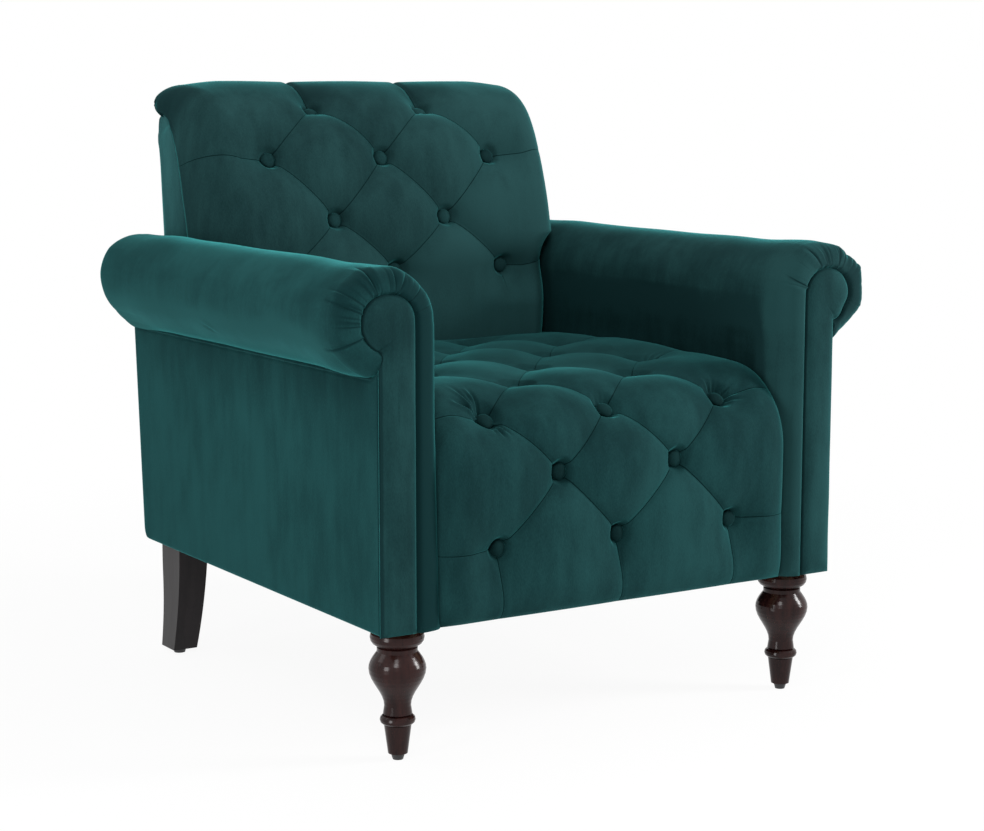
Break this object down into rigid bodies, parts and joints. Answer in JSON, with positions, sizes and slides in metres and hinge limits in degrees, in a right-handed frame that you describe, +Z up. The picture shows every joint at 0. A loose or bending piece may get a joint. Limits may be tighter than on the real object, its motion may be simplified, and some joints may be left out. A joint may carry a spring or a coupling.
{
  "type": "accent chair",
  "caption": "Rolled-arm accent chair in velvet, with a diamond-tufted tight seat and back, a scroll along the top, turned front legs and sabre rear legs.",
  "frame": {"origin": "on the floor, under the middle of the chair's bounding box", "axes": "+Z up; the front of the seat faces -Y; +X is to the right as seen from the front"},
  "size_m": [0.7998, 0.777, 0.822],
  "materials": {
    "velvet": "cut-pile velvet, deep teal green",
    "frame_timber": "raw sawn hardwood",
    "steel": "zinc-plated",
    "black_cloth": "non-woven cloth",
    "webbing": "woven elastic strap",
    "foam": "open-cell foam",
    "leg_wood": "dark espresso lacquer, semi-gloss",
    "glide_plastic": "black plastic"
  },
  "bodies": {
    "root": {"seat_rail_front": "frame_timber", "seat_rail_rear": "frame_timber", "seat_rail_left": "frame_timber", "seat_rail_right": "frame_timber", "corner_blocks": "frame_timber", "arm_front_board_left": "frame_timber", "arm_front_board_right": "frame_timber", "arm_rear_board_left": "frame_timber", "arm_rear_board_right": "frame_timber", "arm_top_rail_left": "frame_timber", "arm_top_rail_right": "frame_timber", "back_post_left": "frame_timber", "back_post_right": "frame_timber", "back_top_rail": "frame_timber", "back_lower_rail": "frame_timber", "seat_springs": "steel", "spring_clips": "steel", "spring_cloth": "black_cloth", "seat_foam": "foam", "seat_cover": "velvet", "seat_buttons": "velvet", "back_webbing": "webbing", "back_foam": "foam", "back_cover": "velvet", "back_buttons": "velvet", "back_side_panel_left": "velvet", "back_side_panel_right": "velvet", "back_outer_panel": "velvet", "arm_pad_left": "foam", "arm_pad_right": "foam", "arm_cover_left": "velvet", "arm_cover_right": "velvet", "arm_outer_panel_left": "velvet", "arm_outer_panel_right": "velvet", "arm_facing_left": "velvet", "arm_facing_right": "velvet", "dust_cover": "black_cloth", "front_leg_left": "leg_wood", "front_leg_right": "leg_wood", "rear_leg_left": "leg_wood", "rear_leg_right": "leg_wood", "front_glides": "glide_plastic", "rear_glides": "glide_plastic", "hanger_bolts": "steel", "threaded_inserts": "steel"}
  },
  "joints": []
}
